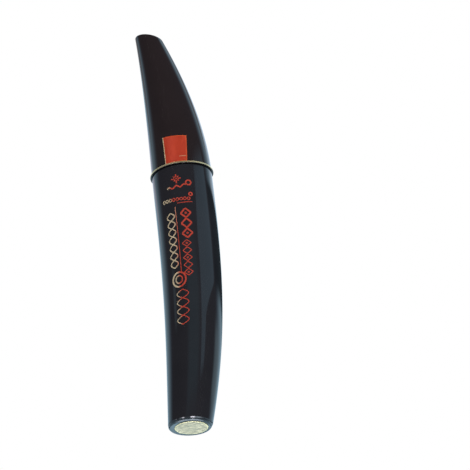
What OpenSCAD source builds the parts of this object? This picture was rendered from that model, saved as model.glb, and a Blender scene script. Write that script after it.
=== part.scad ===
// Curved mascara tube: a screw cap carrying a wand, and a bottle holding a vial.
// The tube stands on the base plug, +Z up, and the cap tip bends towards -X.
// The neck frame sits at the centre of the seam, tilted towards -X: its own Z axis is the screw axis.

/* [Outline] */
// Outer radius of both shells at the seam
seam_r = 9.0; // [8.8:0.05:9.3]
// Outer radius of the bottle at its lower edge
base_r = 6.45; // [6.4:0.05:7.0]
// Exponent of the bottle's swelling from base to seam
belly_power = 3.05; // [2.5:0.05:3.4]
// Height of the seam centre above the ground
seam_z = 80.9; // [80:0.1:83]
// Sideways offset of the seam centre from the base centre
seam_x = 1.45; // [1.1:0.05:1.5]
// Slope of the bottle's centreline where it leaves the base
base_slope = 0.115; // [0.08:0.005:0.12]
// Extra bow of the bottle's centreline at mid height
bow = 0.35; // [0.2:0.05:0.6]
// Tilt of the screw axis, in degrees
lean = 3.05; // [2.8:0.05:3.3]
// Height of the tip centre above the ground
tip_z = 127.5; // [126:0.1:129]
// Outer radius at the tip
tip_r = 4.3; // [4.0:0.05:4.5]
// Exponent of the cap's taper
taper_power = 1.7; // [1.5:0.01:1.9]
// Tilt of the cut at the tip, in degrees
tip_cut = -12; // [-14:0.5:-3]
// Sideways bend of the cap's centreline at the tip
bend = 5.35; // [5.2:0.05:6.2]
// Exponent of the cap's bend
bend_power = 2.0; // [1.9:0.05:2.4]

/* [Bottle parts] */
// Height of the shell's lower edge, which is the visible height of the base plug
edge_z = 0.8; // [0.7:0.05:1.0]
// Radius of the base plug's spigot
spigot_r = 5.3; // [5.1:0.05:5.35]
// Radius of the flat round label
label_r = 4.9; // [4.6:0.05:5.0]
// Sideways offset of the label from the base centre
label_x = 0.35; // [0:0.05:0.4]
// Thickness of the label
label_t = 0.15; // [0.1:0.01:0.2]
// Outer radius of the vial
vial_r = 6.4; // [6.2:0.05:6.45]
// Wall thickness of the vial
vial_wall = 1.0; // [0.8:0.05:1.1]
// Radius of the vial's shoulder flange
flange_r = 7.7; // [7.6:0.05:7.8]

/* [Neck and thread] */
// Radius of the neck under the thread
neck_r = 5.7; // [5.6:0.05:5.75]
// Radius of the neck's bore
neck_bore = 4.3; // [4.2:0.05:4.4]
// Height of the neck above the seam
neck_h = 11.4; // [11.2:0.1:11.6]
// Radius over the male thread
thread_r = 6.4; // [6.3:0.05:6.4]
// Pitch of the thread
pitch = 3.0; // [2.8:0.1:3.2]
// Turns of each thread
turns = 1.25; // [1.0:0.05:1.3]
// Width of the thread at its crest
crest_w = 0.8; // [0.6:0.05:0.9]
// Radius of the wiper's orifice
orifice_r = 2.15; // [2.13:0.01:2.2]

/* [Cap parts] */
// Outer radius of the trim ring
trim_r = 9.5; // [9.3:0.05:9.55]
// Visible height of the trim ring
trim_h = 0.55; // [0.4:0.05:0.6]
// Outer radius of the trim ring's skirt, inside the cap's mouth
skirt_r = 8.3; // [8.2:0.05:8.4]
// Gap between the trim ring and the bottle
seam_gap = 0.2; // [0.15:0.01:0.25]
// Outer radius of the liner
liner_r = 7.3; // [7.25:0.05:7.4]
// Inner radius of the liner
liner_bore = 6.6; // [6.55:0.05:6.65]
// Radius of the female thread's crest
female_r = 5.95; // [5.9:0.05:6.0]
// Height of the foil panel's lower edge above the seam
foil_low = 0.85; // [0.85:0.05:1.2]
// Width of the foil panel at its lower edge, in degrees around the axis
foil_sweep = 42.5; // [40:0.5:46]
// Extra width of the foil panel at its upper edge, in degrees
foil_flare = 6; // [0:0.5:8]
// Height of the foil panel
foil_h = 8.75; // [8.0:0.05:9.0]
// Thickness of the foil panel
foil_t = 0.06; // [0.05:0.01:0.08]

/* [Wand] */
// Radius of the rod
rod_r = 2.1; // [2.05:0.01:2.1]
// Depth of the rod's lower end below the seam
rod_end = 24; // [23:0.5:25]
// Depth of the brush's tip below the seam
brush_end = 52; // [50:0.5:52.5]
// Largest radius of the bristles
bristle_r = 3.7; // [3.4:0.05:3.75]
// Radius over the twisted wires of the core
core_r = 0.72; // [0.68:0.01:0.75]

/* [Hidden] */
$fn = 96;
seg = 80;
hold = 3;
skin = 0.01;
bottle_rings = 40;
cap_rings = 30;
foil_left = -121;
roof = neck_h + 1.5;
neck_sink = 0.3;
paste_gap = 0.05;
seat_gap = 0.02;
male_from = 5.75;
female_from = 5.0;
female_turn = 360 * (female_from - male_from - pitch / 2) / pitch;

// Centreline, ring tilt and outer radius of both shells, as functions of height.
function bottle_x(u) = (u * u * u - 2 * u * u + u) * seam_z * base_slope
    + (3 * u * u - 2 * u * u * u) * seam_x
    - (u * u * u - u * u) * seam_z * tan(lean)
    + bow * 16 * u * u * (1 - u) * (1 - u);
function cap_x(w) = seam_x - tan(lean) * w - bend * pow(w / (tip_z - seam_z), bend_power);
function mid_x(z) = z <= seam_z ? bottle_x(z / seam_z) : cap_x(z - seam_z);
function outer_r(z) = z <= seam_z
    ? seam_r - (seam_r - base_r) * pow(1 - z / seam_z, belly_power)
    : seam_r - (seam_r - tip_r) * pow((z - seam_z) / (tip_z - seam_z), taper_power);
function ramp(t) = min(1, max(0, t));
function tilt(z) = z <= seam_z
    ? lean * ramp((z - hold) / (seam_z - 2 * hold))
    : lean + (tip_cut - lean) * ramp((z - seam_z - hold) / (tip_z - seam_z - hold));

// One ring is [centre x, centre z, tilt, radius].
function ring(z, inset = 0) = [mid_x(z), z, tilt(z), outer_r(z) - inset];
function ring_point(g, a) = [
    g[0] + g[3] * cos(a) * cos(g[2]),
    g[3] * sin(a),
    g[1] + g[3] * cos(a) * sin(g[2])
];

// Closed solid through a list of rings.
module ring_stack(rings) {
    n = len(rings);
    points = [for (g = rings, i = [0 : seg - 1]) ring_point(g, 360 * i / seg)];
    sides = [for (k = [0 : n - 2], i = [0 : seg - 1], half = [0, 1])
        let (j = (i + 1) % seg, a = k * seg, b = a + seg)
        half == 0 ? [a + i, b + i, b + j] : [a + i, b + j, a + j]];
    bottom = [[for (i = [0 : seg - 1]) i]];
    top = [[for (i = [seg - 1 : -1 : 0]) (n - 1) * seg + i]];
    polyhedron(points = points, faces = concat(bottom, sides, top), convexity = 4);
}

// Places its children in the neck frame.
module neck_frame() {
    translate([seam_x, 0, seam_z])
        rotate([0, -lean, 0])
            children();
}

// Solid of revolution between two heights of the neck frame.
module tube(z0, z1, r_out, r_in = 0) {
    translate([0, 0, z0])
        difference() {
            cylinder(h = z1 - z0, r = r_out);
            if (r_in > 0)
                translate([0, 0, -1])
                    cylinder(h = z1 - z0 + 2, r = r_in);
        }
}

// Helical bead that starts at height z0 and angle a0, from radius r0 (root) to r1 (crest).
module helix(z0, a0, r0, r1, root_w, top_w) {
    steps = round(turns * 48);
    fade = 4;
    rows = [for (k = [0 : steps])
        let (
            a = a0 + 360 * turns * k / steps,
            z = z0 + pitch * turns * k / steps,
            f = min(1, (k + 0.5) / fade, (steps - k + 0.5) / fade),
            r = r0 + (r1 - r0) * f
        )
        [
            [r0 * cos(a), r0 * sin(a), z - root_w / 2],
            [r * cos(a), r * sin(a), z - top_w / 2],
            [r * cos(a), r * sin(a), z + top_w / 2],
            [r0 * cos(a), r0 * sin(a), z + root_w / 2]
        ]];
    points = [for (row = rows, p = row) p];
    outward = r1 > r0;
    sides = [for (k = [0 : steps - 1], i = [0 : 3], half = [0, 1])
        let (j = (i + 1) % 4, a = 4 * k, b = a + 4)
        half == 0 ? [a + i, b + i, b + j] : [a + i, b + j, a + j]];
    ends = [[3, 2, 1, 0], [for (i = [0 : 3]) 4 * steps + i]];
    faces = concat(sides, ends);
    polyhedron(
        points = points,
        faces = outward ? [for (f = faces) [for (i = [len(f) - 1 : -1 : 0]) f[i]]] : faces,
        convexity = 4
    );
}

// Glossy outer sleeve, bored from above for the vial and from below for the plug.
module bottle_shell() {
    color([0.05, 0.045, 0.05])
        difference() {
            ring_stack(concat(
                [ring(edge_z, 0.12)],
                [ring(edge_z + 0.12)],
                [for (k = [1 : bottle_rings]) ring(edge_z + (seam_z - 0.35 - edge_z) * k / bottle_rings)],
                [ring(seam_z - 0.12, 0.06)],
                [ring(seam_z, 0.25)]
            ));
            translate([0, 0, edge_z - 1])
                cylinder(h = 9.7, r = spigot_r);
            translate([0.5, 0, 8])
                rotate([0, 9.6, 0])
                    cylinder(h = 20, r = 4.7);
            neck_frame()
                rotate_extrude()
                    polygon([
                        [0, -57],
                        [4.5, -57],
                        [vial_r + 0.2, -39],
                        [vial_r + 0.2, -1.8],
                        [flange_r, -1.8],
                        [flange_r, 2],
                        [0, 2]
                    ]);
        }
}

// Vial with a conical foot, shoulder flange and threaded neck.
module vial() {
    color([0.85, 0.84, 0.8])
        neck_frame()
            union() {
                rotate_extrude()
                    polygon([
                        [0, -56],
                        [3.6, -56],
                        [4.3, -55.3],
                        [vial_r, -39],
                        [vial_r, -1.8],
                        [flange_r, -1.8],
                        [flange_r, -neck_sink],
                        [neck_r + 0.6, -neck_sink],
                        [neck_r, neck_sink],
                        [neck_r, neck_h],
                        [neck_bore, neck_h],
                        [neck_bore, -1.8],
                        [vial_r - vial_wall, -3.6],
                        [vial_r - vial_wall, -39],
                        [3.3, -54.6],
                        [0, -54.6]
                    ]);
                helix(male_from, 0, neck_r - 0.15, thread_r, 1.5, crest_w);
            }
}

// Soft sleeve pressed into the neck, narrowing to the orifice that strips the brush.
module wiper() {
    color([0.92, 0.92, 0.9])
        neck_frame()
            rotate_extrude()
                polygon([
                    [orifice_r, 1.0],
                    [3.0, 1.0],
                    [neck_bore, 3.4],
                    [neck_bore, neck_h],
                    [5.4, neck_h],
                    [5.4, neck_h + 0.8],
                    [3.9, neck_h + 0.8],
                    [3.5, neck_h],
                    [3.5, 4.0],
                    [2.6, 2.2],
                    [orifice_r, 2.2]
                ]);
}

// Plug that closes the sleeve from below; its bevelled flange is the visible foot.
module base_plug() {
    color([0.06, 0.055, 0.06])
        difference() {
            rotate_extrude()
                polygon([
                    [0, 0],
                    [base_r - 0.5, 0],
                    [base_r - 0.1, 0.42],
                    [base_r - 0.08, edge_z],
                    [spigot_r, edge_z],
                    [spigot_r, 7.6],
                    [spigot_r - 0.3, 8],
                    [spigot_r - 1, 8],
                    [spigot_r - 1, edge_z + 0.7],
                    [0, edge_z + 0.7]
                ]);
            translate([label_x, 0, -1])
                cylinder(h = 1 + label_t, r = label_r + 0.08);
        }
}

// Round brushed label set flush into the plug.
module base_label() {
    color([0.83, 0.78, 0.62])
        translate([label_x, 0, 0])
            cylinder(h = label_t, r = label_r);
}

// The mass standing against the vial's wall around the channel that the brush works in.
module mascara_formula() {
    paste_r = vial_r - vial_wall - paste_gap;
    color([0.02, 0.02, 0.02])
        neck_frame()
            rotate_extrude()
                polygon([
                    [3.95, -44.5],
                    [4.5, -44.5],
                    [paste_r, -39],
                    [paste_r, -18],
                    [4.6, -17.2],
                    [3.95, -17.6]
                ]);
}

// Thin gold ring pressed into the cap's mouth.
module trim_ring() {
    color([0.86, 0.74, 0.48])
        neck_frame()
            rotate_extrude()
                polygon([
                    [liner_r + seat_gap, seam_gap],
                    [trim_r - 0.12, seam_gap],
                    [trim_r, seam_gap + 0.12],
                    [trim_r, seam_gap + trim_h - 0.1],
                    [trim_r - 0.1, seam_gap + trim_h],
                    [skirt_r, seam_gap + trim_h],
                    [skirt_r, 2.2],
                    [liner_r + seat_gap, 2.2]
                ]);
}

// Soft washer that seals on top of the wiper.
module seal_washer() {
    color([0.75, 0.75, 0.73])
        neck_frame()
            tube(neck_h + 0.85, roof, 5.6, rod_r + 0.05);
}

// Glossy outer cap, bored for the liner and hollowed towards the tip.
module cap_shell() {
    mouth = seam_z + (seam_gap + trim_h + seat_gap) * cos(lean);
    top = tip_z - 0.3;
    color([0.05, 0.045, 0.045])
        difference() {
            ring_stack(concat(
                [ring(mouth, 0.02)],
                [for (k = [1 : cap_rings]) ring(mouth + (top - mouth) * k / cap_rings)],
                [ring(tip_z - 0.12, 0.05)],
                [ring(tip_z, 0.2)]
            ));
            neck_frame()
                union() {
                    translate([0, 0, -1])
                        cylinder(h = 3.2 + seat_gap, r = skirt_r + seat_gap);
                    translate([0, 0, -1])
                        cylinder(h = roof + 3, r = liner_r + seat_gap);
                    cylinder(h = 21.5, r = 4.2);
                }
            translate([mid_x(98), 0, 98])
                rotate([0, -9.5, 0])
                    cylinder(h = 25, r1 = 6.0, r2 = 2.9);
        }
}

// Moulded insert with the female thread and the socket for the rod.
module cap_liner() {
    color([0.8, 0.8, 0.78])
        neck_frame()
            union() {
                tube(0.9, roof + 2, liner_r, liner_bore);
                tube(roof, roof + 2, liner_bore + 0.1, rod_r);
                tube(roof + 1.9, roof + 7, 4.0, rod_r);
                helix(female_from, female_turn, liner_bore + 0.15, female_r, 1.5, crest_w);
            }
}

// Foil rectangle that follows the cap's surface just above the trim ring.
module cap_foil_panel() {
    across = 16;
    along = 10;
    low = seam_z + foil_low;
    rows = [for (lift = [skin, skin + foil_t], k = [0 : along], i = [0 : across])
        let (
            g = ring(low + foil_h * k / along, -lift),
            a = foil_left + (foil_sweep + foil_flare * k / along) * i / across
        )
        ring_point(g, a)];
    w = across + 1;
    n = w * (along + 1);
    inner = [for (k = [0 : along - 1], i = [0 : across - 1], half = [0, 1])
        let (a = k * w + i)
        half == 0 ? [a, a + 1, a + w + 1] : [a, a + w + 1, a + w]];
    outer = [for (f = inner) [f[2] + n, f[1] + n, f[0] + n]];
    rim = concat(
        [for (i = [0 : across]) i],
        [for (k = [1 : along]) k * w + across],
        [for (i = [across - 1 : -1 : 0]) along * w + i],
        [for (k = [along - 1 : -1 : 1]) k * w]
    );
    edge = [for (i = [0 : len(rim) - 1], half = [0, 1])
        let (a = rim[i], b = rim[(i + 1) % len(rim)])
        half == 0 ? [b, a, a + n] : [b, a + n, b + n]];
    color([0.75, 0.25, 0.15])
        polyhedron(points = rows, faces = concat(inner, outer, edge), convexity = 4);
}

// Stem that carries the brush, bored at its lower end for the core.
module rod() {
    color([0.08, 0.08, 0.08])
        neck_frame()
            difference() {
                union() {
                    tube(-rod_end + 1.2, roof + 6, rod_r);
                    translate([0, 0, -rod_end])
                        cylinder(h = 1.2, r1 = 1.5, r2 = rod_r);
                }
                translate([0, 0, -rod_end - 1])
                    cylinder(h = 11, r = core_r);
            }
}

// Wire core: a straight shank crimped into the rod, running on through the brush to a cut end.
module brush_core() {
    shank = 10;
    color([0.7, 0.7, 0.72])
        neck_frame()
            union() {
                translate([0, 0, -brush_end + 0.3])
                    cylinder(h = brush_end - rod_end + shank - 0.3, r = core_r);
                translate([0, 0, -brush_end])
                    cylinder(h = 0.3, r1 = core_r - 0.2, r2 = core_r);
            }
}

// Envelope of the bristles, a barrel that narrows to the tip.
module bristles() {
    low = -brush_end + 0.6;
    high = -rod_end - 0.8;
    span = high - low;
    color([0.03, 0.03, 0.03])
        neck_frame()
            rotate_extrude()
                polygon(concat(
                    [[core_r, low]],
                    [for (k = [0 : 12])
                        let (t = k / 12)
                        [bristle_r * (0.55 + 0.45 * sin(180 * pow(t, 0.8))), low + span * t]],
                    [[core_r, high]]
                ));
}

bottle_shell();
vial();
wiper();
base_plug();
base_label();
mascara_formula();
trim_ring();
seal_washer();
cap_shell();
cap_liner();
cap_foil_panel();
rod();
brush_core();
bristles();
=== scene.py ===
"""Curved screw-cap mascara tube: smooth shells, threaded neck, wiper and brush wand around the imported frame.

Sizes are in millimetres and repeat the driving dimensions of the CAD model; meshes are built in metres.
The neck frame has its origin at the centre of the seam and its own Z along the screw axis.
"""

import math
import random

import bpy
from mathutils import Matrix, Vector

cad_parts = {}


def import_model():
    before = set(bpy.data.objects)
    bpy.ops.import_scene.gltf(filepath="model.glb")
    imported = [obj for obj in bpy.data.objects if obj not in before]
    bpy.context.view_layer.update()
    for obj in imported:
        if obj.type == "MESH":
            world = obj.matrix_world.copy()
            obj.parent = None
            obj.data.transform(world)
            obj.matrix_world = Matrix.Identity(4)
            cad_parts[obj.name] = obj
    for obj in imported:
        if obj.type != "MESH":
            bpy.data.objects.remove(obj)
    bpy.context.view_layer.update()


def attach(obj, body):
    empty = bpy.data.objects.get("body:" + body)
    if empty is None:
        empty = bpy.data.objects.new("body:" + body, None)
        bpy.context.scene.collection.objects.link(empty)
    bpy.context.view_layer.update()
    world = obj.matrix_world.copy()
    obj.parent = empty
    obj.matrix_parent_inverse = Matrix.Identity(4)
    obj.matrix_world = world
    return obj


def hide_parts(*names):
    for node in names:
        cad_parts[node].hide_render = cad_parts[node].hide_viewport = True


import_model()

MM = 0.001
SEGMENTS = 192
GRAIN_DEPTH = 0.00002

# Outline of both shells
SEAM_R = 9.0
BASE_R = 6.45
BELLY_POWER = 3.05
SEAM_Z = 80.9
SEAM_X = 1.45
BASE_SLOPE = 0.115
BOW = 0.35
LEAN = 3.05
TIP_Z = 127.5
TIP_R = 4.3
TAPER_POWER = 1.7
TIP_CUT = -12.0
BEND = 5.35
BEND_POWER = 2.0
HOLD = 3.0

# Bottle parts
EDGE_Z = 0.8
SPIGOT_R = 5.3
LABEL_R = 4.9
LABEL_X = 0.35
LABEL_T = 0.15
VIAL_R = 6.4
VIAL_WALL = 1.0
PASTE_GAP = 0.05
FLANGE_R = 7.7
FLANGE_LOW = -1.8
CONE_TOP = -39
VIAL_END = -56
VIAL_FLOOR = -54.6
SEAT_CLEAR = 0.03
RECESS_R = LABEL_R + 0.08

# Neck and thread
NECK_R = 5.7
NECK_BORE = 4.3
NECK_H = 11.4
THREAD_R = 6.4
PITCH = 3.0
TURNS = 1.25
CREST_W = 0.8
ROOT_W = 1.5
MALE_FROM = 5.75
FEMALE_FROM = 5.0
ORIFICE_R = 2.15

# Cap parts
TRIM_R = 9.5
TRIM_H = 0.55
SEAM_GAP = 0.2
SEAT_GAP = 0.02
SKIRT_R = 8.3
LINER_R = 7.3
LINER_BORE = 6.6
FEMALE_R = 5.95
ROOF = NECK_H + 1.5
FOIL_LEFT = -121.0
FOIL_SWEEP = 42.5
FOIL_FLARE = 6.0
FOIL_LOW = 0.85
FOIL_H = 8.75

# Wand
ROD_R = 2.1
ROD_END = 24.0
BRUSH_END = 52.0
BRISTLE_R = 3.7
CORE_R = 0.72
WIRE_LAY = 1.7


# ---------------------------------------------------------------- outline

def mid_x(z):
    """Centreline of the shells at height z."""
    if z <= SEAM_Z:
        u = max(z, 0.0) / SEAM_Z
        slope = -math.tan(math.radians(LEAN))
        return (
            (u ** 3 - 2 * u ** 2 + u) * SEAM_Z * BASE_SLOPE
            + (3 * u ** 2 - 2 * u ** 3) * SEAM_X
            + (u ** 3 - u ** 2) * SEAM_Z * slope
            + BOW * 16 * u ** 2 * (1 - u) ** 2
        )
    w = z - SEAM_Z
    return SEAM_X - math.tan(math.radians(LEAN)) * w - BEND * (w / (TIP_Z - SEAM_Z)) ** BEND_POWER


def outer_r(z):
    """Outer radius of the shells at height z."""
    if z <= SEAM_Z:
        return SEAM_R - (SEAM_R - BASE_R) * (1 - max(z, 0.0) / SEAM_Z) ** BELLY_POWER
    return SEAM_R - (SEAM_R - TIP_R) * ((z - SEAM_Z) / (TIP_Z - SEAM_Z)) ** TAPER_POWER


def tilt(z):
    """Tilt in degrees of the cross-section at height z."""
    if z <= SEAM_Z:
        return LEAN * min(1.0, max(0.0, (z - HOLD) / (SEAM_Z - 2 * HOLD)))
    return LEAN + (TIP_CUT - LEAN) * min(1.0, max(0.0, (z - SEAM_Z - HOLD) / (TIP_Z - SEAM_Z - HOLD)))


def ring(z, inset=0.0):
    """Ring on the outline: centre x, centre z, tilt, radius."""
    return (mid_x(z), z, tilt(z), outer_r(z) - inset)


def neck_ring(s, r):
    """Ring of radius r at height s of the neck frame."""
    a = math.radians(LEAN)
    return (SEAM_X - s * math.sin(a), SEAM_Z + s * math.cos(a), LEAN, r)


def ring_point(spec, angle):
    """Point of a ring at an angle in radians, in metres."""
    x, z, lean, r = spec
    t = math.radians(lean)
    c = math.cos(angle)
    return Vector((x + r * c * math.cos(t), r * math.sin(angle), z + r * c * math.sin(t))) * MM


def neck_matrix():
    """Carries the neck frame's millimetres into the row frame's metres."""
    place = Matrix.Translation(Vector((SEAM_X, 0, SEAM_Z)) * MM)
    return place @ Matrix.Rotation(-math.radians(LEAN), 4, "Y") @ Matrix.Scale(MM, 4)


NECK = neck_matrix()


# ---------------------------------------------------------------- mesh helpers

def add_object(name, data):
    """Object in the scene for a mesh, lamp or camera."""
    obj = bpy.data.objects.new(name, data)
    bpy.context.scene.collection.objects.link(obj)
    return obj


class Mesh:
    """Collects rows of points into one mesh object."""

    def __init__(self):
        self.points = []
        self.faces = []

    def rows(self, rows, ends="capped"):
        """Joins closed rows of points into a skin.

        ends is capped, or closed where the last row meets the first.
        """
        base, n, m = len(self.points), len(rows[0]), len(rows)
        for row in rows:
            self.points.extend(row)
        for k in range(m if ends == "closed" else m - 1):
            a, b = base + k * n, base + ((k + 1) % m) * n
            for i in range(n):
                j = (i + 1) % n
                self.faces.append((a + i, a + j, b + j, b + i))
        if ends == "capped":
            self.faces.append(tuple(base + i for i in reversed(range(n))))
            self.faces.append(tuple(base + (m - 1) * n + i for i in range(n)))
        return self

    def build(self, name, material, body, node=None, sharp=32.0):
        """Makes the object, lets it ride on a body, and lets it replace a CAD node. sharp is in degrees."""
        mesh = bpy.data.meshes.new(name)
        mesh.from_pydata([tuple(p) for p in self.points], [], self.faces)
        mesh.validate()
        mesh.update()
        flip_if_inside_out(mesh)
        for face in mesh.polygons:
            face.use_smooth = True
        mesh.set_sharp_from_angle(angle=math.radians(sharp))
        obj = add_object(name, mesh)
        mesh.materials.append(material)
        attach(obj, body)
        if node:
            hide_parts(*([node] if isinstance(node, str) else node))
        return obj


def flip_if_inside_out(mesh):
    """Turns all faces round where the enclosed volume comes out negative."""
    volume = 0.0
    for face in mesh.polygons:
        corners = [mesh.vertices[i].co for i in face.vertices]
        for i in range(1, len(corners) - 1):
            volume += corners[0].dot(corners[i].cross(corners[i + 1]))
    if volume < 0:
        mesh.flip_normals()


def loft(specs, ends="capped", segments=SEGMENTS):
    """Mesh through a list of rings."""
    angles = [2 * math.pi * i / segments for i in range(segments)]
    return Mesh().rows([[ring_point(s, a) for a in angles] for s in specs], ends)


def corner(before, here, after, radius, steps):
    """Short curve that rounds the corner at here between its two neighbours."""
    here = Vector(here)
    back, ahead = Vector(before) - here, Vector(after) - here
    cut = min(radius, 0.45 * back.length, 0.45 * ahead.length)
    start, end = here + back.normalized() * cut, here + ahead.normalized() * cut
    out = []
    for i in range(steps + 1):
        t = i / steps
        p = start * (1 - t) ** 2 + here * 2 * t * (1 - t) + end * t ** 2
        out.append((p.x, p.y))
    return out


def rounded(points, radius, steps=4):
    """Closed profile with its corners rounded."""
    out = []
    for k, here in enumerate(points):
        out += corner(points[k - 1], here, points[(k + 1) % len(points)], radius, steps)
    return out


def rounded_run(points, radius, steps=4):
    """Open run of points with its inner corners rounded; its two ends stay where they are."""
    out = [points[0]]
    for before, here, after in zip(points, points[1:], points[2:]):
        out += corner(before, here, after, radius, steps)
    return out + [points[-1]]


def turned(profile, radius, segments=SEGMENTS):
    """Solid of revolution of a closed (r, s) profile around the screw axis."""
    return loft([neck_ring(s, r) for r, s in rounded(profile, radius)], "closed", segments)


def spaced(a, b, n):
    """n + 1 evenly spaced values from a to b."""
    return [a + (b - a) * k / n for k in range(n + 1)]


# ---------------------------------------------------------------- materials

def new_material(name, **sockets):
    """Principled material with the given constant sockets."""
    mat = bpy.data.materials.new(name)
    mat.use_nodes = True
    shader = mat.node_tree.nodes["Principled BSDF"]
    for key, value in sockets.items():
        shader.inputs[key.replace("_", " ")].default_value = value
    return mat, mat.node_tree, shader


def add(tree, kind, settings=None, **values):
    """Node with settings on the node and constant values on its sockets."""
    node = tree.nodes.new("ShaderNode" + kind)
    for key, value in (settings or {}).items():
        setattr(node, key, value)
    for key, value in values.items():
        node.inputs[key.replace("_", " ")].default_value = value
    return node


def noise(tree, scale, detail=3.0, stretch=(1, 1, 1)):
    """Noise over object coordinates; its factor socket."""
    where = add(tree, "TexCoord")
    spread = add(tree, "Mapping", Scale=stretch)
    field = add(tree, "TexNoise", Scale=scale, Detail=detail, Roughness=0.55)
    tree.links.new(where.outputs["Object"], spread.inputs["Vector"])
    tree.links.new(spread.outputs["Vector"], field.inputs["Vector"])
    return field.outputs["Fac"]


def ramp(tree, factor, stops):
    """Colour ramp over a factor; its colour socket."""
    node = add(tree, "ValToRGB")
    marks = node.color_ramp.elements
    while len(marks) < len(stops):
        marks.new(0.5)
    for mark, (place, colour) in zip(marks, stops):
        mark.position = place
        mark.color = (*colour, 1.0)
    tree.links.new(factor, node.inputs["Fac"])
    return node.outputs["Color"]


def remap(tree, value, low, high, to_low, to_high, smooth=False):
    """Carries a value from one range to another, clamped at both ends."""
    node = add(tree, "MapRange", {"interpolation_type": "SMOOTHSTEP"} if smooth else None)
    for socket, number in zip(("From Min", "From Max", "To Min", "To Max"), (low, high, to_low, to_high)):
        node.inputs[socket].default_value = number
    tree.links.new(value, node.inputs["Value"])
    return node.outputs["Result"]


def math_node(tree, operation, a, b=None):
    """Sum, product or other function of one or two numbers or sockets."""
    node = add(tree, "Math", {"operation": operation})
    for socket, value in zip(node.inputs, (a, b)):
        if value is None:
            continue
        if isinstance(value, (int, float)):
            socket.default_value = value
        else:
            tree.links.new(value, socket)
    return node.outputs[0]


def coordinates(tree, kind="Object"):
    """The x, y and z sockets of a point."""
    where = add(tree, "TexCoord")
    split = add(tree, "SeparateXYZ")
    tree.links.new(where.outputs[kind], split.inputs["Vector"])
    return split.outputs


def length(tree, x, y):
    """Length of a vector in a plane."""
    squares = [math_node(tree, "MULTIPLY", v, v) for v in (x, y)]
    return math_node(tree, "SQRT", math_node(tree, "ADD", *squares))


def blend(tree, share, first, second):
    """Mix of two colours, each a socket or a constant, by a share that runs from the first to the second."""
    node = add(tree, "Mix", {"data_type": "RGBA"})
    tree.links.new(share, node.inputs[0])
    for socket, colour in zip((node.inputs[6], node.inputs[7]), (first, second)):
        if isinstance(colour, tuple):
            socket.default_value = (*colour, 1)
        else:
            tree.links.new(colour, socket)
    return node.outputs[2]


def blend_shaders(tree, share, first, second, output):
    """Sends a mix of two shaders to the output node."""
    mix = add(tree, "MixShader")
    for socket, source in zip(mix.inputs, (share, first, second)):
        tree.links.new(source, socket)
    tree.links.new(mix.outputs["Shader"], output.inputs["Surface"])


def bump(tree, shader, height, strength, distance):
    """Bends the shader's normal by a height field; distance is in metres."""
    node = add(tree, "Bump", Strength=strength, Distance=distance)
    tree.links.new(height, node.inputs["Height"])
    tree.links.new(node.outputs["Normal"], shader.inputs["Normal"])


def gloss_black(name, low, high):
    """Moulded black plastic: near-black, with faint flow waves, micro scratches and handling haze."""
    mat, tree, shader = new_material(name, IOR=1.5)
    links = tree.links
    links.new(ramp(tree, noise(tree, 90), [(0.3, low), (0.7, high)]), shader.inputs["Base Color"])
    haze = remap(tree, noise(tree, 160, 5), 0.35, 0.75, 0.055, 0.11)
    links.new(haze, shader.inputs["Roughness"])
    waves = noise(tree, 70, 1)
    scratches = noise(tree, 900, 2, (1, 1, 0.06))
    height = math_node(tree, "ADD", waves, math_node(tree, "MULTIPLY", scratches, 0.012))
    bump(tree, shader, height, 0.12, 0.00012)
    return mat


def metal(name, dark, light, roughness, grain, stretch, metallic=1.0):
    """Metallic film with stretched grain."""
    mat, tree, shader = new_material(name, Metallic=metallic)
    field = noise(tree, grain, 4, stretch)
    tree.links.new(ramp(tree, field, [(0.32, dark), (0.68, light)]), shader.inputs["Base Color"])
    rough = remap(tree, field, 0.3, 0.7, roughness * 0.75, roughness * 1.3)
    tree.links.new(rough, shader.inputs["Roughness"])
    bump(tree, shader, field, 0.25, GRAIN_DEPTH)
    return mat


def soft_plastic(name, dark, light, roughness, glow=0.0):
    """Natural moulded plastic with faint cloudiness."""
    mat, tree, shader = new_material(name, IOR=1.5)
    shader.inputs["Subsurface Weight"].default_value = glow
    shader.inputs["Subsurface Scale"].default_value = 0.0015
    field = noise(tree, 220, 4)
    tree.links.new(ramp(tree, field, [(0.3, dark), (0.7, light)]), shader.inputs["Base Color"])
    tree.links.new(remap(tree, field, 0.3, 0.7, roughness * 0.8, roughness * 1.2), shader.inputs["Roughness"])
    bump(tree, shader, noise(tree, 1800, 3), 0.15, 0.00003)
    return mat


def neck_axis_distance(tree):
    """Distance from the screw axis and height along it, in millimetres."""
    where = add(tree, "TexCoord")
    turn = add(tree, "Mapping", {"vector_type": "TEXTURE"})
    turn.inputs["Location"].default_value = (SEAM_X * MM, 0, SEAM_Z * MM)
    turn.inputs["Rotation"].default_value = (0, -math.radians(LEAN), 0)
    turn.inputs["Scale"].default_value = (MM, MM, MM)
    split = add(tree, "SeparateXYZ")
    tree.links.new(where.outputs["Object"], turn.inputs["Vector"])
    tree.links.new(turn.outputs["Vector"], split.inputs["Vector"])
    x, y, height = split.outputs
    return length(tree, x, y), height


def wiper_material():
    """Soft pale plastic, stained with formula around the orifice."""
    mat, tree, shader = new_material("wiper_soft", IOR=1.5)
    distance, _ = neck_axis_distance(tree)
    patchy = math_node(tree, "ADD", distance, remap(tree, noise(tree, 900, 4), 0.3, 0.7, -0.9, 0.9))
    clean = remap(tree, patchy, 2.4, 4.2, 0, 1)
    stain = ramp(tree, clean, [(0.35, (0.012, 0.011, 0.012)), (0.6, (0.82, 0.81, 0.77))])
    tree.links.new(stain, shader.inputs["Base Color"])
    tree.links.new(remap(tree, patchy, 2.4, 4.2, 0.25, 0.5), shader.inputs["Roughness"])
    bump(tree, shader, noise(tree, 1400, 3), 0.2, 0.00005)
    return mat


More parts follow.
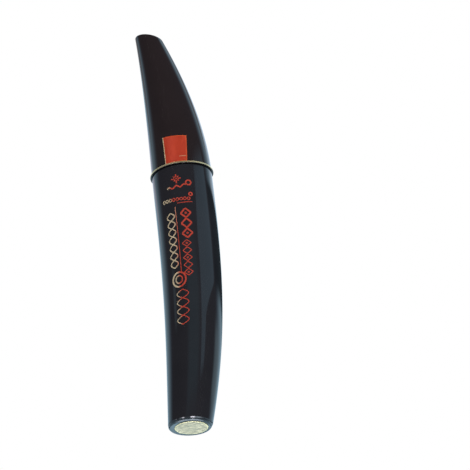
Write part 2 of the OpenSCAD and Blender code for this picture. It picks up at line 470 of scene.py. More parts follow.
def wand_material(name, base, roughness):
    """Black plastic or nylon with wet, clumpy smears."""
    mat, tree, shader = new_material(name, IOR=1.5)
    smear = noise(tree, 500, 5, (1, 1, 0.35))
    colour = ramp(tree, smear, [(0.4, base), (0.62, (0.006, 0.006, 0.007))])
    tree.links.new(colour, shader.inputs["Base Color"])
    tree.links.new(remap(tree, smear, 0.4, 0.65, roughness, 0.18), shader.inputs["Roughness"])
    bump(tree, shader, smear, 0.3, 0.00008)
    return mat


def print_material():
    """Metallic ink that runs from pale gold on the left to red-orange on the right."""
    mat, tree, shader = new_material("print_ink", Metallic=0.25, Roughness=0.38)
    x, _, z = coordinates(tree)
    shift = remap(tree, z, 66 * MM, 71 * MM, 0, 1.4 * MM, True)
    side = remap(tree, math_node(tree, "ADD", x, shift), -2.6 * MM, 0.6 * MM, 0, 1)
    ink = ramp(tree, side, [(0.3, (0.62, 0.50, 0.32)), (0.62, (0.50, 0.055, 0.030))])
    wear = remap(tree, noise(tree, 1500, 4), 0.52, 0.75, 0, 0.55)
    tree.links.new(blend(tree, wear, ink, (0.10, 0.03, 0.025)), shader.inputs["Base Color"])
    return mat


def foil_material(name, dark, light):
    """Red-orange foil with faint mottling and ripples."""
    mat, tree, shader = new_material(name, Metallic=0.35)
    field = noise(tree, 420, 4, (1, 1, 0.5))
    tree.links.new(ramp(tree, field, [(0.3, dark), (0.7, light)]), shader.inputs["Base Color"])
    tree.links.new(remap(tree, field, 0.3, 0.7, 0.30, 0.42), shader.inputs["Roughness"])
    bump(tree, shader, noise(tree, 260, 2), 0.15, 0.00006)
    return mat


def trim_material():
    """Gold plating on the ring's outer face; below it the ring is painted near-black, a painted shade that
    stands in for the dark bottle mirrored in its underside.
    """
    mat, tree, shader = new_material("trim_gold", IOR=1.5)
    _, height = neck_axis_distance(tree)
    # Painted shade: the band under the gold face gets a near-black colour and no metal, in place of the dark
    # reflection of the bottle below.
    gold_over_painted_shade = remap(tree, height, SEAM_GAP + 0.05, SEAM_GAP + 0.11, 0, 1)
    grain = noise(tree, 300, 4, (1, 1, 6))
    gold = ramp(tree, grain, [(0.32, (0.70, 0.52, 0.24)), (0.68, (0.98, 0.83, 0.48))])
    tree.links.new(blend(tree, gold_over_painted_shade, (0.010, 0.009, 0.010), gold), shader.inputs["Base Color"])
    tree.links.new(math_node(tree, "MULTIPLY", gold_over_painted_shade, 0.8), shader.inputs["Metallic"])
    tree.links.new(remap(tree, grain, 0.3, 0.7, 0.2, 0.34), shader.inputs["Roughness"])
    bump(tree, shader, grain, 0.25, GRAIN_DEPTH)
    return mat


def label_material():
    """Brushed pale gold film with a brighter ring at its border, a painted highlight for the light caught on
    the label's rim.
    """
    mat, tree, shader = new_material("label_gold", Metallic=0.45)
    x, y, _ = coordinates(tree)
    distance = length(tree, math_node(tree, "SUBTRACT", x, LABEL_X * MM), y)
    # Painted highlight: the film turns to a bright gold in a band just inside the label's edge.
    border = remap(tree, distance, (LABEL_R - 0.4) * MM, (LABEL_R - 0.25) * MM, 0, 1)
    grain = noise(tree, 560, 4, (1, 2.2, 1))
    film = ramp(tree, grain, [(0.32, (0.33, 0.27, 0.16)), (0.68, (0.90, 0.73, 0.47))])
    # The constant gold here is the painted highlight's colour.
    tree.links.new(blend(tree, border, film, (0.88, 0.75, 0.42)), shader.inputs["Base Color"])
    tree.links.new(remap(tree, grain, 0.3, 0.7, 0.32, 0.55), shader.inputs["Roughness"])
    bump(tree, shader, grain, 0.25, GRAIN_DEPTH)
    return mat


BLACK = gloss_black("black_gloss", (0.0118, 0.0118, 0.0142), (0.0148, 0.0146, 0.0174))
CAP_BLACK = gloss_black("black_gloss_cap", (0.0142, 0.0096, 0.0098), (0.0168, 0.0116, 0.0118))
# Black plastic lifted to a blue-grey: partly the plug's own black, partly a painted sheen for the pale
# surroundings it mirrors.
PLUG_BLACK_AND_SHEEN = gloss_black("plug_black", (0.026, 0.036, 0.042), (0.034, 0.046, 0.054))
TRIM_GOLD = trim_material()
GOLD_LINE = metal("gold_line", (0.66, 0.46, 0.24), (0.92, 0.74, 0.46), 0.3, 300, (1, 1, 6), 0.4)
LABEL_GOLD = label_material()
STEEL = metal("wire_steel", (0.30, 0.30, 0.31), (0.62, 0.62, 0.64), 0.32, 900, (1, 1, 0.3))
FOIL = foil_material("foil_red", (0.50, 0.045, 0.020), (0.61, 0.064, 0.026))
# Painted highlight: a brighter orange foil for the strips along the panel's top, right and bottom edges.
FOIL_EDGE_HIGHLIGHT = foil_material("foil_edge_highlight", (0.66, 0.075, 0.020), (0.82, 0.13, 0.035))
INK = print_material()
VIAL_PLASTIC = soft_plastic("vial_plastic", (0.70, 0.69, 0.64), (0.83, 0.82, 0.78), 0.36, 0.25)
LINER_PLASTIC = soft_plastic("liner_plastic", (0.66, 0.66, 0.64), (0.78, 0.78, 0.76), 0.45, 0.15)
WASHER_SOFT = soft_plastic("washer_soft", (0.68, 0.68, 0.66), (0.80, 0.80, 0.78), 0.7, 0.2)
WIPER = wiper_material()
ROD_BLACK = wand_material("rod_black", (0.022, 0.021, 0.022), 0.35)
NYLON = wand_material("bristle_nylon", (0.016, 0.015, 0.016), 0.45)
FORMULA = wand_material("formula_black", (0.010, 0.009, 0.010), 0.3)


# ---------------------------------------------------------------- bottle side

def bottle_sleeve():
    """Outer sleeve: chamfered foot edge, rounded lip at the seam, and the bores for vial and plug."""
    chamfer_in, chamfer_up = 0.18, 0.28
    lip = 0.3
    lip_steps = [math.radians(90 * k / 6) for k in range(7)]
    outside = [ring(EDGE_Z, chamfer_in), ring(EDGE_Z + chamfer_up)]
    outside += [ring(z) for z in spaced(EDGE_Z + 0.3, SEAM_Z - lip, 150)]
    outside += [
        neck_ring(-lip * (1 - math.sin(t)), SEAM_R - lip * (1 - math.cos(t))) for t in lip_steps[1:]
    ]
    inside = [
        neck_ring(0, FLANGE_R + 0.25),
        neck_ring(-0.07, FLANGE_R + 0.1),
        neck_ring(-0.2, FLANGE_R + SEAT_CLEAR),
        neck_ring(FLANGE_LOW, FLANGE_R + SEAT_CLEAR),
        neck_ring(FLANGE_LOW, VIAL_R + 0.2),
        neck_ring(CONE_TOP, VIAL_R + 0.2),
        neck_ring(-57, 4.5),
        (1.8, 15.0, 6.0, 4.8),
        (0.0, 9.7, 0.0, SPIGOT_R + SEAT_CLEAR),
        (0.0, EDGE_Z, 0.0, SPIGOT_R + SEAT_CLEAR),
    ]
    mesh = loft(outside + inside, "closed")
    return mesh.build("bottle_sleeve", BLACK, "bottle", "bottle_shell", sharp=22)


def helix_bead(mesh, z0, a0, r0, r1):
    """Adds a rounded helical bead, faded out at both ends, to a mesh in the neck frame."""
    steps = round(TURNS * 120)
    fade = 9
    rows = []
    for k in range(steps + 1):
        t = k / steps
        angle = a0 + 2 * math.pi * TURNS * t
        z = z0 + PITCH * TURNS * t
        f = min(1.0, (k + 0.4) / fade, (steps - k + 0.4) / fade)
        f = math.sin(f * math.pi / 2)
        r = r0 + (r1 - r0) * f
        flanks = [(r0, -ROOT_W / 2), (r, -CREST_W / 2), (r, CREST_W / 2), (r0, ROOT_W / 2)]
        section = rounded(flanks, 0.12 * f + 0.01, 3)
        rows.append([NECK @ Vector((p * math.cos(angle), p * math.sin(angle), z + q)) for p, q in section])
    mesh.rows(rows)


def vial():
    """Inner container with a conical foot, shoulder flange and threaded neck."""
    profile = [
        (3.6, VIAL_END),
        (4.3, VIAL_END + 0.7),
        (VIAL_R, CONE_TOP),
        (VIAL_R, FLANGE_LOW),
        (FLANGE_R, FLANGE_LOW),
        (FLANGE_R, -0.3),
        (NECK_R + 0.6, -0.3),
        (NECK_R, 0.3),
        (NECK_R, NECK_H),
        (NECK_BORE, NECK_H),
        (NECK_BORE, FLANGE_LOW),
        (VIAL_R - VIAL_WALL, -3.6),
        (VIAL_R - VIAL_WALL, CONE_TOP),
        (3.3, VIAL_FLOOR),
    ]
    run = rounded_run([(1.8, VIAL_END)] + profile + [(1.6, VIAL_FLOOR)], 0.18)
    curve = [(0.9, VIAL_END)] + run + [(0.8, VIAL_FLOOR)]
    mesh = loft([neck_ring(s, r) for r, s in curve], "capped")
    helix_bead(mesh, MALE_FROM, 0.0, NECK_R - 0.15, THREAD_R)
    return mesh.build("vial_and_neck", VIAL_PLASTIC, "bottle", "vial")


def neck_wiper():
    """Soft sleeve in the neck, narrowing to the orifice that strips the brush."""
    profile = [
        (ORIFICE_R, 1.0),
        (3.0, 1.0),
        (NECK_BORE, 3.4),
        (NECK_BORE, NECK_H),
        (5.4, NECK_H),
        (5.4, NECK_H + 0.8),
        (3.9, NECK_H + 0.8),
        (3.5, NECK_H),
        (3.5, 4.0),
        (2.6, 2.2),
        (ORIFICE_R, 2.2),
    ]
    return turned(profile, 0.15).build("neck_wiper", WIPER, "bottle", "wiper")


def plug_ring(s, r):
    """Ring of the foot plug: only the label's recess sits off centre."""
    in_recess = s < EDGE_Z and r <= RECESS_R + 0.1
    return (LABEL_X if in_recess else 0.0, s, 0.0, r)


def foot_plug():
    """Plug that closes the sleeve; its rim is slightly dished, from the standing edge up to the label."""
    curve = [(RECESS_R * 0.5, LABEL_T), (RECESS_R, LABEL_T)]
    curve += rounded_run(
        [
            (RECESS_R + 0.02, LABEL_T - 0.03),
            (BASE_R - 0.5, 0),
            (BASE_R - 0.1, 0.42),
            (BASE_R - 0.08, EDGE_Z),
            (SPIGOT_R, EDGE_Z),
        ],
        0.16,
    )
    curve += rounded_run(
        [
            (SPIGOT_R, EDGE_Z + 0.3),
            (SPIGOT_R, 7.6),
            (SPIGOT_R - 0.3, 8),
            (SPIGOT_R - 1, 8),
            (SPIGOT_R - 1, EDGE_Z + 0.7),
            (1.0, EDGE_Z + 0.7),
        ],
        0.16,
    )
    mesh = loft([plug_ring(s, r) for r, s in curve], "capped")
    return mesh.build("foot_plug", PLUG_BLACK_AND_SHEEN, "bottle", "base_plug")


def label_ring(s, r):
    """Ring around the label's own axis."""
    return (LABEL_X, s, 0.0, r)


def foot_label():
    """Disc with a raised rim line, its face level with the foot."""
    specs = [
        label_ring(LABEL_T, LABEL_R * 0.5),
        label_ring(LABEL_T, LABEL_R),
        label_ring(0.05, LABEL_R),
        label_ring(0.01, LABEL_R - 0.04),
        label_ring(0.0, LABEL_R - 0.10),
        label_ring(0.0, LABEL_R - 0.26),
        label_ring(0.02, LABEL_R - 0.32),
        label_ring(0.02, LABEL_R * 0.5),
    ]
    return loft(specs, "capped").build("foot_label", LABEL_GOLD, "bottle", "base_label")


def formula_mass():
    """Paste against the vial's wall, ploughed into soft ridges by the brush."""
    inner, outer = 3.95, VIAL_R - VIAL_WALL - PASTE_GAP
    low, cone, high = -44.5, float(CONE_TOP), -18.0
    outside = [(4.5, low)] + [(outer, s) for s in spaced(cone, high, 20)] + [(4.75, high + 0.7)]
    inside = []
    for s in spaced(high + 0.5, low, 110):
        inside.append((inner + 0.16 + 0.12 * math.sin(s * 2.3), s))
    mesh = loft([neck_ring(s, r) for r, s in outside + inside], "closed", 96)
    return mesh.build("formula_mass", FORMULA, "bottle", "mascara_formula")


# ---------------------------------------------------------------- printed ornament

def on_bottle(u, v, lift):
    """Point of the shells' surface: u mm to the right of the front line, v mm above the ground."""
    spec = ring(v, -lift)
    return ring_point(spec, -math.pi / 2 + u / outer_r(v))


def stroke(mesh, path, width, lift=0.03, closed=False):
    """Flat raised line along a path of (u, v) points."""
    points = [Vector(p) for p in path]
    n = len(points)
    rows = []
    for k, p in enumerate(points):
        before = points[k - 1] if (closed or k > 0) else points[k]
        after = points[(k + 1) % n] if (closed or k < n - 1) else points[k]
        along = (after - before).normalized()
        side = Vector((-along.y, along.x)) * width / 2
        a, b = p - side, p + side
        corners = ((a, 0.004), (a, lift), (b, lift), (b, 0.004))
        rows.append([on_bottle(q.x, q.y, height) for q, height in corners])
    mesh.rows(rows, "closed" if closed else "capped")


def oval(cu, cv, a, b, n=28):
    """Points of an ellipse around (cu, cv)."""
    angles = [math.radians(360.0 * k / n) for k in range(n)]
    return [(cu + a * math.cos(t), cv + b * math.sin(t)) for t in angles]


def starburst(mesh, u, v, size):
    """Eight short petals around a dot."""
    for k in range(8):
        a = math.radians(45 * k)
        reach = size if k % 2 == 0 else size * 0.72
        stroke(mesh, [(u + d * math.cos(a), v + d * math.sin(a)) for d in (0.35 * size, reach)], 0.34)
    stroke(mesh, oval(u, v, 0.14 * size, 0.14 * size, n=12), 0.2, closed=True)


def bead_row(mesh, u0, v0, u1, v1, count, size):
    """Row of small ovals, as on a beaded border."""
    for k in range(count):
        t = k / (count - 1)
        u, v = u0 + (u1 - u0) * t, v0 + (v1 - v0) * t
        stroke(mesh, oval(u, v, size, size * 1.1, n=16), 0.24, closed=True)


def wave(mesh, u0, v0, u1, v1, height, turns, width):
    """Sine line between two points."""
    n = int(14 * turns)
    path = []
    for k in range(n + 1):
        t = k / n
        path.append((u0 + (u1 - u0) * t, v0 + (v1 - v0) * t + height * math.sin(2 * math.pi * turns * t)))
    stroke(mesh, path, width)


def lozenge_chain(mesh, u, v_top, v_low, count, half_width, width):
    """Column of linked lozenges with a dot inside each second one."""
    step = (v_top - v_low) / count
    for k in range(count):
        v = v_top - step * (k + 0.5)
        h = step * 0.46
        path = []
        corners = [(u - half_width, v), (u, v + h), (u + half_width, v), (u, v - h)]
        for i, (a, b) in enumerate(corners):
            c, d = corners[(i + 1) % 4]
            path += [(a + (c - a) * t, b + (d - b) * t) for t in (0.08, 0.36, 0.64, 0.92)]
        stroke(mesh, path, width, closed=True)
        if k % 2 == 0:
            stroke(mesh, oval(u, v, 0.22, 0.22, n=12), 0.24, closed=True)


def loop_chain(mesh, u, v_top, v_low, loops, half_width, width):
    """Two sine lines that cross again and again."""
    n = loops * 20
    for sign in (-1, 1):
        path = []
        for k in range(n + 1):
            t = k / n
            path.append((u + sign * half_width * math.sin(math.pi * loops * t), v_top + (v_low - v_top) * t))
        stroke(mesh, path, width)


def bottle_print():
    """Abstract ornament in place of the printed lettering: star, rows, two columns, a line and a ring."""
    mesh = Mesh()
    starburst(mesh, -2.1, 76.3, 1.5)
    wave(mesh, -5.2, 73.5, 0.6, 73.9, 0.35, 2.5, 0.42)
    stroke(mesh, oval(1.4, 74.6, 0.75, 0.75, n=18), 0.45, closed=True)
    bead_row(mesh, -6.9, 69.8, 1.0, 69.4, 8, 0.42)
    stroke(mesh, oval(1.7, 70.8, 0.5, 0.5, n=16), 0.4, closed=True)
    stroke(mesh, [(u, 68.3) for u in spaced(-2.6, 2.0, 10)], 0.22)
    lozenge_chain(mesh, -0.35, 66.4, 56.6, 3, 1.55, 0.5)
    lozenge_chain(mesh, -0.85, 56.2, 44.6, 5, 1.35, 0.26)
    stroke(mesh, [(-3.35 + 0.3 * t, 67.3 - 21.3 * t) for t in spaced(0, 1, 40)], 0.2)
    loop_chain(mesh, -5.1, 65.6, 47.8, 7, 1.25, 0.34)
    stroke(mesh, oval(-3.9, 43.9, 2.1, 2.3), 0.5, closed=True)
    stroke(mesh, oval(-3.9, 43.9, 1.05, 1.2), 0.36, closed=True)
    loop_chain(mesh, -3.0, 40.6, 29.6, 4, 1.8, 0.26)
    return mesh.build("print_ornament", INK, "bottle")


# ---------------------------------------------------------------- cap side

def seam_ring():
    """Gold ring at the cap's mouth, with a skirt between liner and cap."""
    profile = [
        (LINER_R + SEAT_GAP, SEAM_GAP),
        (TRIM_R, SEAM_GAP),
        (TRIM_R, SEAM_GAP + TRIM_H),
        (SKIRT_R, SEAM_GAP + TRIM_H),
        (SKIRT_R, 2.2),
        (LINER_R + SEAT_GAP, 2.2),
    ]
    return turned(profile, 0.12).build("seam_ring", TRIM_GOLD, "collar", "trim_ring")


def cap_sleeve():
    """Outer cap: rounded tip, and a stepped bore for ring, liner and socket."""
    mouth = SEAM_GAP + TRIM_H + SEAT_GAP
    start = SEAM_Z + mouth * math.cos(math.radians(LEAN))
    rim = 0.2
    inside = [
        (-3.6, 122.5, 10, 1.5),
        (-3.5, 122.0, 10, 3.0),
        (mid_x(98), 98.6, 9.5, 5.9),
        neck_ring(ROOF + 2.1, 5.9),
        neck_ring(ROOF + 2.03, LINER_R + SEAT_CLEAR),
        neck_ring(2.25, LINER_R + SEAT_CLEAR),
        neck_ring(2.25, SKIRT_R + SEAT_CLEAR),
        neck_ring(mouth + 0.02, SKIRT_R + SEAT_CLEAR),
    ]
    outside = [ring(start, 0.12), ring(start + 0.02, 0.05), ring(start + 0.07, 0.01)]
    outside += [ring(z) for z in spaced(start + 0.2, TIP_Z - rim, 110)]
    for k in range(1, 7):
        t = math.radians(15 * k)
        outside.append(ring(TIP_Z - rim * (1 - math.sin(t)), rim * (1 - math.cos(t))))
    outside.append(ring(TIP_Z, 0.8))
    outside.append(ring(TIP_Z - 0.02, 2.4))
    return loft(inside + outside, "capped").build("cap_sleeve", CAP_BLACK, "cap", "cap_shell")


def cap_insert():
    """Liner with the female thread and the rod's socket."""
    profile = [
        (LINER_R, 0.9),
        (LINER_R, ROOF + 2),
        (4.0, ROOF + 2),
        (4.0, ROOF + 7),
        (ROD_R, ROOF + 7),
        (ROD_R, ROOF),
        (LINER_BORE, ROOF),
        (LINER_BORE, 0.9),
    ]
    mesh = turned(profile, 0.15)
    turn = 2 * math.pi * (FEMALE_FROM - MALE_FROM - PITCH / 2) / PITCH
    helix_bead(mesh, FEMALE_FROM, turn, LINER_BORE + 0.15, FEMALE_R)
    return mesh.build("cap_insert", LINER_PLASTIC, "cap", "cap_liner")


def foil_plate(mesh, across, along, low, high, columns=40, rows=24):
    """Adds a plate over a share of the foil panel's width and height, lifted between low and high."""
    def row(rise, lift, shares):
        spec = ring(SEAM_Z + FOIL_LOW + FOIL_H * rise, -lift)
        width = FOIL_SWEEP + FOIL_FLARE * rise
        return [ring_point(spec, math.radians(FOIL_LEFT + width * share)) for share in shares]

    shares = spaced(*across, columns)
    back = shares[::-1]
    return mesh.rows([row(rise, low, shares) + row(rise, high, back) for rise in spaced(*along, rows)])


def foil():
    """Foil panel with a gold line down its left side, a short gold streak near its foot that is a painted
    highlight, and brighter edges that are painted highlights.
    """
    foil_plate(Mesh(), (0, 1), (0, 1), 0.012, 0.055).build("foil_field", FOIL, "cap", "cap_foil_panel")
    gold = Mesh()
    foil_plate(gold, (0, 0.032), (0, 1), 0.05, 0.075, 4)
    # Painted highlight: a short gold streak near the foot of the panel, standing in for light caught in the
    # foil.
    foil_plate(gold, (0.66, 0.95), (0.19, 0.205), 0.05, 0.075, 12, 2)
    gold.build("foil_gold_line_and_highlight", GOLD_LINE, "cap")
    # Painted highlight: bright strips along the top, right and bottom edges.
    edge_highlight = Mesh()
    foil_plate(edge_highlight, (0.04, 1), (0.975, 1), 0.05, 0.075, 40, 2)
    foil_plate(edge_highlight, (0.965, 1), (0, 0.965), 0.05, 0.075, 4)
    foil_plate(edge_highlight, (0.04, 0.95), (0, 0.03), 0.05, 0.075, 40, 2)
    edge_highlight.build("foil_edge_highlight", FOIL_EDGE_HIGHLIGHT, "cap")


# ---------------------------------------------------------------- wand

def wand_rod():
    """Stem of the wand, bored at both ends of its core."""
    profile = [
        (CORE_R, -ROD_END),
        (1.5, -ROD_END),
        (ROD_R, -ROD_END + 1.2),
        (ROD_R, ROOF + 6),
        (0.3, ROOF + 6),
        (0.3, -ROD_END + 10),
        (CORE_R, -ROD_END + 10),
    ]
    return turned(profile, 0.14, segments=96).build("wand_rod", ROD_BLACK, "cap", "rod")


def rod_washer():
    """Soft washer around the rod, on top of the wiper."""
    profile = [(ROD_R + 0.05, NECK_H + 0.85), (5.6, NECK_H + 0.85), (5.6, ROOF), (ROD_R + 0.05, ROOF)]
    return turned(profile, 0.2).build("rod_washer", WASHER_SOFT, "seal", "seal_washer")


def wire_core():
    """Two wires twisted together."""
    mesh = Mesh()
    wire = CORE_R / 2
    low, high = -BRUSH_END, -ROD_END + 9.5
    steps = int((high - low) / WIRE_LAY * 18)
    sides = 12
    for phase in (0.0, math.pi):
        rows = []
        for k in range(steps + 1):
            s = low + (high - low) * k / steps
            turn = phase + 2 * math.pi * (s - low) / WIRE_LAY
            centre = Vector((wire * 0.93 * math.cos(turn), wire * 0.93 * math.sin(turn), s))
            rise = WIRE_LAY / (2 * math.pi * wire)
            run = Vector((-math.sin(turn), math.cos(turn), rise)).normalized()
            out = Vector((math.cos(turn), math.sin(turn), 0))
            across = run.cross(out)
            fade = 1.0 if k not in (0, steps) else 0.75
            rows.append([
                NECK @ (centre + wire * fade * (out * math.cos(a) + across * math.sin(a)))
                for a in (2 * math.pi * i / sides for i in range(sides))
            ])
        mesh.rows(rows)
    return mesh.build("wire_core", STEEL, "cap", "brush_core", sharp=60)


def brush_radius(t):
    """Reach of the bristles from the tip (t 0) to the rod (t 1)."""
    return BRISTLE_R * (0.55 + 0.45 * math.sin(math.pi * t ** 0.8))


def brush():
    """Fibres held between the wires, standing in a tight double spiral."""
    pick = random.Random(11)
    mesh = Mesh()
    low, high = -BRUSH_END + 0.6, -ROD_END - 0.8
    count = 3400
    for k in range(count):
        t = (k + pick.random()) / count
        s = low + (high - low) * t
        side = math.pi if k % 2 else 0.0
        angle = side + 2 * math.pi * s / WIRE_LAY + pick.gauss(0, 0.32)
        reach = brush_radius(t) * (0.985 - 0.08 * pick.random() ** 2)
        lean = pick.gauss(0, 0.16)
        curl = pick.gauss(0, 0.22)
        thick = 0.052 * (0.85 + 0.3 * pick.random())
        out = Vector((math.cos(angle), math.sin(angle), 0))
        across = Vector((-math.sin(angle), math.cos(angle), 0))
        rows = []
        for i in range(4):
            d = i / 3
            r = 0.25 + (reach - 0.25) * d
            centre = out * r + across * curl * d * d + Vector((0, 0, s + lean * d))
            w = thick * (1 - 0.35 * d)
            rows.append([
                NECK @ (centre + w * (across * math.cos(a) + Vector((0, 0, math.sin(a)))))
                for a in (2 * math.pi * j / 3 for j in range(3))
            ])
        mesh.rows(rows)
    return mesh.build("brush_bristles", NYLON, "cap", "bristles", sharp=70)


# ---------------------------------------------------------------- studio

def sheet(name, corners):
    """Object of one four-cornered face."""
    mesh = bpy.data.meshes.new(name)
    mesh.from_pydata(corners, [], [(0, 1, 2, 3)])
    mesh.update()
    return add_object(name, mesh)


def hide_from(obj, *rays):
    """Takes an object out of the sight of some kinds of ray."""
    for ray in rays:
        setattr(obj, "visible_" + ray, False)


def floor():
    """Pale floor, clear from underneath so that the view from below the foot stays open."""
    half = 1.6
    obj = sheet("floor", [(-half, -half, 0), (half, -half, 0), (half, half, 0), (-half, half, 0)])
    obj.location.z = -0.02 * MM
    mat, tree, shader = new_material("floor_pale", Roughness=0.7)
    pale = ramp(tree, noise(tree, 30, 3), [(0.3, (0.84, 0.84, 0.84)), (0.7, (0.87, 0.87, 0.87))])
    tree.links.new(pale, shader.inputs["Base Color"])
    underneath = add(tree, "NewGeometry").outputs["Backfacing"]
    clear = add(tree, "BsdfTransparent").outputs["BSDF"]
    blend_shaders(tree, underneath, shader.outputs["BSDF"], clear, tree.nodes["Material Output"])
    obj.data.materials.append(mat)
    hide_from(obj, "diffuse", "glossy", "transmission", "shadow")


def card(name, x, y, z, colour, edges):
    """Soft-edged studio card, seen only in reflections.

    Two of x, y, z are spans in millimetres and one is a single value. edges(tree, across, up) gives its cover
    from the shares of its two spans.
    """
    spans = [v if isinstance(v, tuple) else (v, v) for v in (x, y, z)]
    axes = [k for k in range(3) if spans[k][0] != spans[k][1]]
    corners = []
    for ends in ((0, 0), (1, 0), (1, 1), (0, 1)):
        point = [low for low, _ in spans]
        for axis, end in zip(axes, ends):
            point[axis] = spans[axis][end]
        corners.append(Vector(point) * MM)
    obj = sheet(name, corners)
    mat = bpy.data.materials.new(name)
    mat.use_nodes = True
    tree = mat.node_tree
    tree.nodes.remove(tree.nodes["Principled BSDF"])
    place = coordinates(tree)
    shares = []
    for axis in axes:
        low, high = spans[axis]
        shares.append(remap(tree, place[axis], low * MM, high * MM, 0, 1))
    glow = add(tree, "Emission", Color=(*colour, 1.0), Strength=1.0).outputs["Emission"]
    clear = add(tree, "BsdfTransparent").outputs["BSDF"]
    blend_shaders(tree, edges(tree, *shares), clear, glow, tree.nodes["Material Output"])
    obj.data.materials.append(mat)
    hide_from(obj, "camera", "diffuse", "transmission", "shadow")


def product(tree, *values):
    """Product of any number of sockets."""
    out = values[0]
    for value in values[1:]:
        out = math_node(tree, "MULTIPLY", out, value)
    return out


def fade(tree, share, rise, fall):
    """1 inside, 0 outside: rises over the first span of shares and falls over the second."""
    up = remap(tree, share, *rise, 0, 1, True)
    down = remap(tree, share, *fall, 1, 0, True)
    return math_node(tree, "MULTIPLY", up, down)


def soft_edges(tree, across, up):
    """Soft on all four sides."""
    return product(tree, fade(tree, across, (0, 0.3), (0.7, 1)), fade(tree, up, (0, 0.3), (0.7, 1)))


def soft_ends(tree, across, up):
    """Soft above and below."""
    return fade(tree, up, (0, 0.25), (0.75, 1))


def bounce_edges(tree, across, up):
    """Narrow above, widest at half height, and a slim strip towards the bottom."""
    front = remap(tree, up, 0.64, 0.80, 0.0, 0.30)
    widening = remap(tree, up, 0.23, 0.36, 0.46, 0.94, True)
    back = math_node(tree, "ADD", widening, remap(tree, up, 0.0, 0.23, -0.10, 0.0))
    ahead = remap(tree, math_node(tree, "SUBTRACT", across, front), 0.0, 0.12, 0, 1, True)
    behind = remap(tree, math_node(tree, "SUBTRACT", across, back), 0.0, 0.06, 1, 0, True)
    return product(tree, ahead, behind, fade(tree, up, (0.0, 0.10), (0.76, 0.95)))


def flag_edges(tree, across, up):
    """Crisp on the side that meets the bounce card, soft elsewhere."""
    return product(tree, fade(tree, across, (0, 0.02), (0.9, 1)), fade(tree, up, (0, 0.2), (0.9, 1)))


def cards():
    """Cards beside the tube, in front of it, behind it at the cap's height, and around its foot."""
    pale = (0.40, 0.585, 0.74)
    card("bounce_card", 32.0, (-52.0, -3.0), (20.0, 114.0), pale, bounce_edges)
    card("flag", 32.0, (-3.0, 110.0), (45.0, 92.0), (0.035, 0.052, 0.062), flag_edges)
    card("left_card", -40.0, (-23.0, -11.0), (42.0, 66.0), (0.30, 0.40, 0.46), soft_edges)
    card("front_card", (-75.0, 95.0), -150.0, (20.0, 135.0), (0.18, 0.29, 0.35), soft_edges)
    card("back_right", (0.0, 200.0), 150.0, (140.0, 240.0), (1.02, 1.28, 1.55), soft_ends)
    card("back_left", (-180.0, 0.0), 150.0, (143.0, 180.0), (0.86, 0.96, 1.16), soft_ends)
    for name, x, z in (("left", (-200.0, 0.0), (184.0, 290.0)), ("right", (0.0, 200.0), (214.0, 320.0))):
        card("back_top_" + name, x, 154.0, z, (0.36, 0.37, 0.40), soft_ends)
    card("right_low", 120.0, (-5.0, 100.0), (20.0, 76.0), (0.60, 0.84, 0.98), soft_edges)
    card("foot_card", (-200.0, 200.0), (-140.0, 60.0), -150.0, (5.4, 6.3, 7.2), soft_edges)
    card("foot_back", (-90.0, 120.0), 152.0, (-125.0, -28.0), (0.92, 1.38, 1.68), soft_edges)
    card("foot_flag", (-110.0, 110.0), 150.0, (-44.0, -3.0), (0.02, 0.022, 0.025), soft_ends)
    glints = (
        (25.0, -90.0, 27.0, 20.0),
        (-71.0, -78.0, 17.0, 10.0),
        (-160.0, -16.0, 16.0, 7.0),
    )
    for x, y, size, power in glints:
        name = "glint_%d" % abs(x)
        colour = (power, power, 1.1 * power)
        card(name, (x - size, x + size), (y - size, y + size), -100.0, colour, soft_edges)


def world():
    """White surround; reflections see a studio, dark in front and overhead and pale blue-grey behind."""
    scene_world = bpy.data.worlds.new("studio")
    bpy.context.scene.world = scene_world
    scene_world.use_nodes = True
    tree = scene_world.node_tree
    tree.nodes.clear()
    x, y, z = coordinates(tree, "Generated")
    forward = math_node(tree, "MULTIPLY", y, -1.0)
    azimuth = math_node(tree, "DEGREES", math_node(tree, "ARCTAN2", x, forward))
    elevation = math_node(tree, "DEGREES", math_node(tree, "ARCSINE", z))
    turn = math_node(tree, "ABSOLUTE", azimuth)
    behind = remap(tree, turn, 96, 128, 0, 1, True)
    overhead = remap(tree, elevation, 55, 75, 1, 0, True)
    aside = remap(tree, turn, 60, 110, 0, 1, True)
    below = math_node(tree, "MULTIPLY", remap(tree, elevation, -2, -22, 0, 1, True), aside)
    lit = math_node(tree, "MAXIMUM", math_node(tree, "MULTIPLY", behind, overhead), below)
    stops = [(0.0, (0.105, 0.103, 0.122)), (0.35, (0.25, 0.36, 0.47)), (1.0, (0.58, 0.86, 1.05))]
    studio = add(tree, "Background")
    tree.links.new(ramp(tree, lit, stops), studio.inputs["Color"])
    tree.links.new(remap(tree, x, -1, 1, 0.84, 1.16), studio.inputs["Strength"])
    white = add(tree, "Background", Color=(1, 1, 1, 1), Strength=1.0).outputs["Background"]
    seen = add(tree, "LightPath").outputs["Is Camera Ray"]
    blend_shaders(tree, seen, studio.outputs["Background"], white, add(tree, "OutputWorld"))


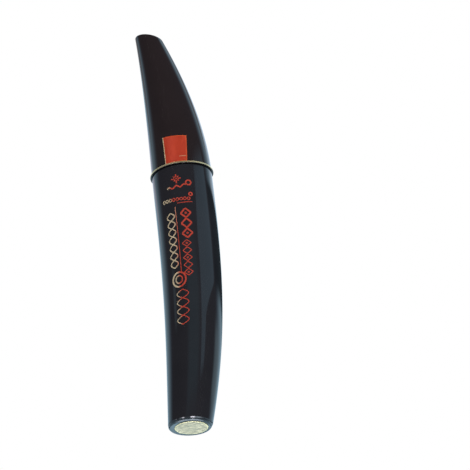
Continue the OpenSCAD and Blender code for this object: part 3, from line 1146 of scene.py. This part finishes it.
def lamp(name, place, target, size, power, colour=(1, 1, 1)):
    """Soft area light that isn't mirrored in the gloss."""
    data = bpy.data.lights.new(name, "AREA")
    data.shape = "DISK"
    data.size = size
    data.energy = power
    data.color = colour
    obj = add_object(name, data)
    obj.location = place
    obj.rotation_mode = "QUATERNION"
    obj.rotation_quaternion = (Vector(target) - Vector(place)).to_track_quat("-Z", "Y")
    hide_from(obj, "glossy", "camera")


def lights():
    """Four soft lamps aimed at the middle of the tube."""
    aim = (0, 0, 0.07)
    lamp("key", (-0.45, -0.75, 0.65), aim, 0.5, 7.0)
    lamp("fill", (0.65, -0.55, 0.35), aim, 0.6, 4.0, (0.95, 0.98, 1.0))
    lamp("back", (0.1, 0.8, 0.6), aim, 0.6, 5.0)
    lamp("under", (0.0, -0.5, -0.5), aim, 0.5, 2.5)


def camera():
    """Long lens from below the foot, rolled a little, with the tube left of centre."""
    distance, elevation, roll = 1043.0, -25.1, 3.0
    target = Vector((0, 0, 67.8))
    aim_right, aim_up = 16.62, -5.47
    focal_length = 268.05447
    e = math.radians(elevation)
    back = Vector((0, -math.cos(e), math.sin(e)))
    right = Vector((1, 0, 0))
    up = right.cross(-back)
    turn = math.radians(roll)
    image_right = right * math.cos(turn) - up * math.sin(turn)
    image_up = right * math.sin(turn) + up * math.cos(turn)
    place = target + back * distance
    aim = target + image_right * aim_right + image_up * aim_up
    forward = (aim - place).normalized()
    side = (image_right - forward * image_right.dot(forward)).normalized()
    top = side.cross(forward)
    data = bpy.data.cameras.new("camera")
    data.sensor_width = 36.0
    data.lens = focal_length
    data.clip_start, data.clip_end = 0.05, 20.0
    obj = add_object("camera", data)
    basis = Matrix((side, top, -forward)).transposed().to_4x4()
    obj.matrix_world = Matrix.Translation(place * MM) @ basis
    bpy.context.scene.camera = obj


bottle_sleeve()
vial()
neck_wiper()
foot_plug()
foot_label()
formula_mass()
bottle_print()
seam_ring()
cap_sleeve()
cap_insert()
foil()
wand_rod()
rod_washer()
wire_core()
brush()
floor()
cards()
world()
lights()
camera()
bpy.context.scene.view_settings.view_transform = "Standard"
